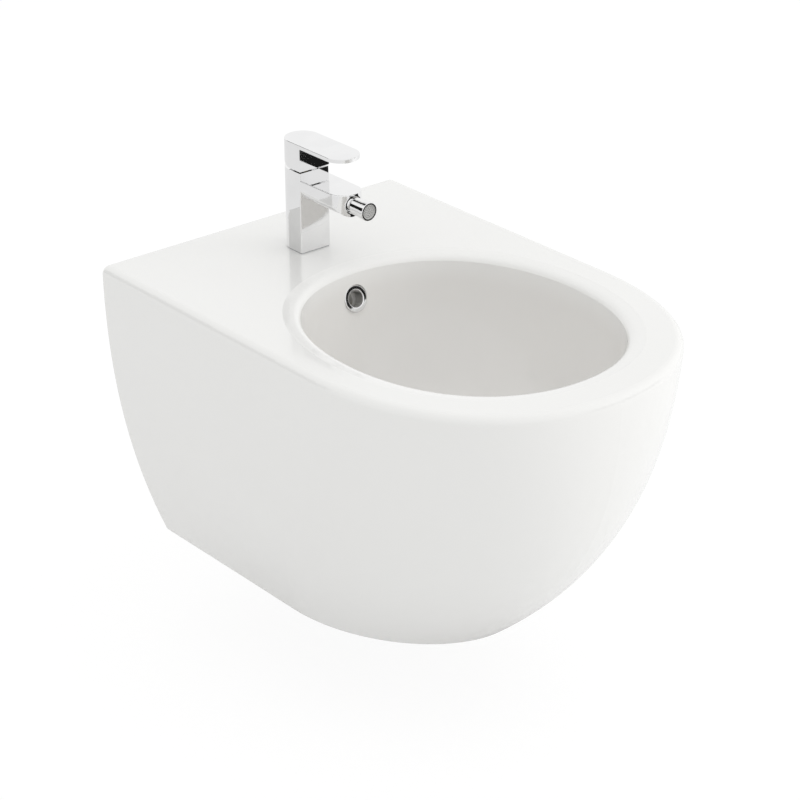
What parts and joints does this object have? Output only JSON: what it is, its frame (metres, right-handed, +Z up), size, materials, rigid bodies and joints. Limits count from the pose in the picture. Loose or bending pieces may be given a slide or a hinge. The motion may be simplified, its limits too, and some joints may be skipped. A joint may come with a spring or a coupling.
{
  "type": "wall hung bidet with mixer tap",
  "caption": "Wall hung ceramic bidet, D shaped in plan, with a slim chrome single lever mixer, a swivelling jet nozzle, an overflow ring, a plug waste and a bottle trap.",
  "frame": {"origin": "on the wall face, midway between the two wall bolts", "axes": "+X to the right seen from the front, +Y into the wall, +Z up"},
  "size_m": [0.36, 0.52, 0.4155],
  "materials": {
    "ceramic": "glossy white glaze",
    "chrome_plate": "polished chrome plate",
    "nylon": "natural white nylon",
    "plated_steel": "zinc plated",
    "clear_gasket": "pale grey elastomer",
    "stud_brass": "plain turned brass",
    "black_rubber": "matte black rubber",
    "cartridge_plastic": "off-white engineering plastic",
    "disc_ceramic": "lapped alumina",
    "chrome_plastic": "metallised plastic",
    "bearing_plastic": "dark acetal",
    "grey_plastic": "grey plastic",
    "trap_plastic": "white polypropylene"
  },
  "bodies": {
    "fixed": {"ceramic_body": "ceramic", "ceramic_bowl": "ceramic", "overflow_ring": "chrome_plate", "wall_bushes": "nylon", "wall_washers": "plated_steel", "wall_nuts": "plated_steel", "mixer_body": "chrome_plate", "base_gasket": "clear_gasket", "fixing_stud": "stud_brass", "clamp_gasket": "black_rubber", "clamp_plate": "plated_steel", "stud_nut": "stud_brass", "cartridge_seal": "black_rubber", "cartridge_housing": "cartridge_plastic", "fixed_disc": "disc_ceramic", "cartridge_nut": "stud_brass", "nozzle_retainer": "chrome_plate", "flange_seal": "black_rubber", "waste_body": "chrome_plate", "lower_seal": "black_rubber", "lock_nut": "stud_brass", "trap_seal": "black_rubber", "trap_nut": "trap_plastic", "trap_head": "trap_plastic", "dip_tube": "trap_plastic", "cup_seal": "black_rubber", "trap_cup": "trap_plastic", "outlet_pipe": "trap_plastic", "outlet_nut": "trap_plastic"},
    "lever_turn": {"cartridge_carrier": "cartridge_plastic", "spindle_pin": "plated_steel"},
    "lever": {"lever_spindle": "stud_brass", "lever_handle": "chrome_plate", "lever_screw": "plated_steel", "screw_cap": "chrome_plastic"},
    "valve_disc": {"moving_disc": "disc_ceramic", "disc_driver": "cartridge_plastic"},
    "nozzle_turn": {"nozzle_seat": "bearing_plastic"},
    "nozzle": {"nozzle_body": "chrome_plate", "nozzle_end_ring": "chrome_plate", "flow_insert": "grey_plastic"},
    "plug": {"plug_cap": "chrome_plate", "plug_seal": "black_rubber", "plug_stem": "stud_brass"}
  },
  "joints": [
    {"name": "lever_swivel", "type": "hinge", "parent": "fixed", "child": "lever_turn", "pos_m": [0, -0.0835, 0.148], "axis": [0, 0, 1], "range_deg": [-45, 45]},
    {"name": "lever_tilt", "type": "hinge", "parent": "lever_turn", "child": "lever", "pos_m": [0, -0.0835, 0.148], "axis": [-1, 0, 0], "range_deg": [0, 20]},
    {"name": "disc_slide", "type": "slide", "parent": "lever_turn", "child": "valve_disc", "axis": [0, -1, 0], "range_m": [0, 0.0036]},
    {"name": "nozzle_spin", "type": "hinge", "parent": "fixed", "child": "nozzle_turn", "pos_m": [0, -0.1515, 0.144], "axis": [0, -1, 0], "range_deg": [-90, 90]},
    {"name": "nozzle_tilt", "type": "hinge", "parent": "nozzle_turn", "child": "nozzle", "pos_m": [0, -0.1515, 0.144], "axis": [1, 0, 0], "range_deg": [-15, 15]},
    {"name": "plug_rise", "type": "slide", "parent": "fixed", "child": "plug", "axis": [0, 0, 1], "range_m": [0, 0.008]}
  ],
  "couplings": [
    {"joint": "disc_slide", "follows": "lever_tilt", "m_per_rad": 0.01}
  ]
}
